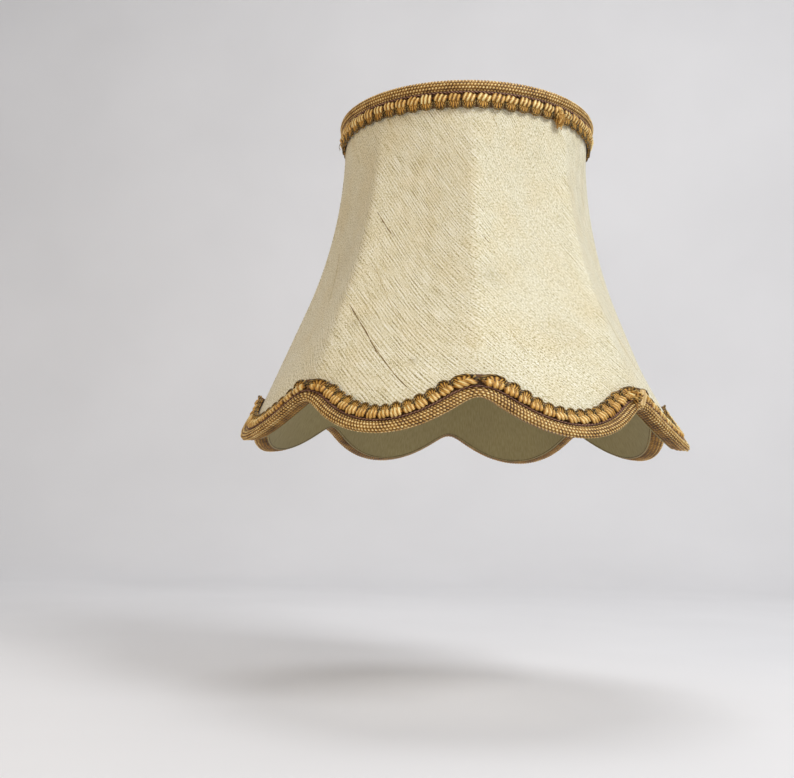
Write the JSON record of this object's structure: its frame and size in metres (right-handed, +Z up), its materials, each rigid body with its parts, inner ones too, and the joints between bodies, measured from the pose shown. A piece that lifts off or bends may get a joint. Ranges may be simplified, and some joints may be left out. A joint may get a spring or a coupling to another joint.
{
  "type": "lamp shade",
  "caption": "Scalloped bell lamp shade: silk panels over a ribbed wire frame, lined, braid on both edges, with a fitter ring that tilts between two wire arms.",
  "frame": {"origin": "on the shade's axis, in the plane that its scallops stand on", "axes": "+Z up along the shade's axis, the fitter's tilt axis along Y, a rib at -Y as the front"},
  "size_m": [0.2894, 0.2894, 0.2238],
  "materials": {
    "coated_wire": "white powder coat",
    "plated_steel": "bright plated pressed steel",
    "slub_silk": "cream slub silk, bias cut",
    "lining_cloth": "plain off-white lining",
    "cotton_tape": "matt cotton tape",
    "gimp_braid": "gold and brown scalloped gimp"
  },
  "bodies": {
    "shade": {"top_ring": "coated_wire", "scalloped_bottom_wire": "coated_wire", "rib_1": "coated_wire", "rib_2": "coated_wire", "rib_3": "coated_wire", "rib_4": "coated_wire", "rib_5": "coated_wire", "rib_6": "coated_wire", "rib_7": "coated_wire", "rib_8": "coated_wire", "arm_front": "coated_wire", "arm_back": "coated_wire", "rivet_front": "plated_steel", "rivet_back": "plated_steel", "friction_washer_front": "plated_steel", "friction_washer_back": "plated_steel", "top_binding": "cotton_tape", "bottom_binding": "cotton_tape", "cover_front": "slub_silk", "cover_back": "slub_silk", "lining_front": "lining_cloth", "lining_back": "lining_cloth", "slit_tab_front": "cotton_tape", "slit_tab_back": "cotton_tape", "top_braid": "gimp_braid", "bottom_braid": "gimp_braid", "top_braid_join": "gimp_braid", "bottom_braid_join": "gimp_braid"},
    "fitter": {"fitter_ring": "plated_steel"}
  },
  "joints": [
    {"name": "fitter_tilt", "type": "hinge", "parent": "shade", "child": "fitter", "pos_m": [0, 0, 0.128], "axis": [0, 1, 0], "range_deg": [-30, 30]}
  ]
}
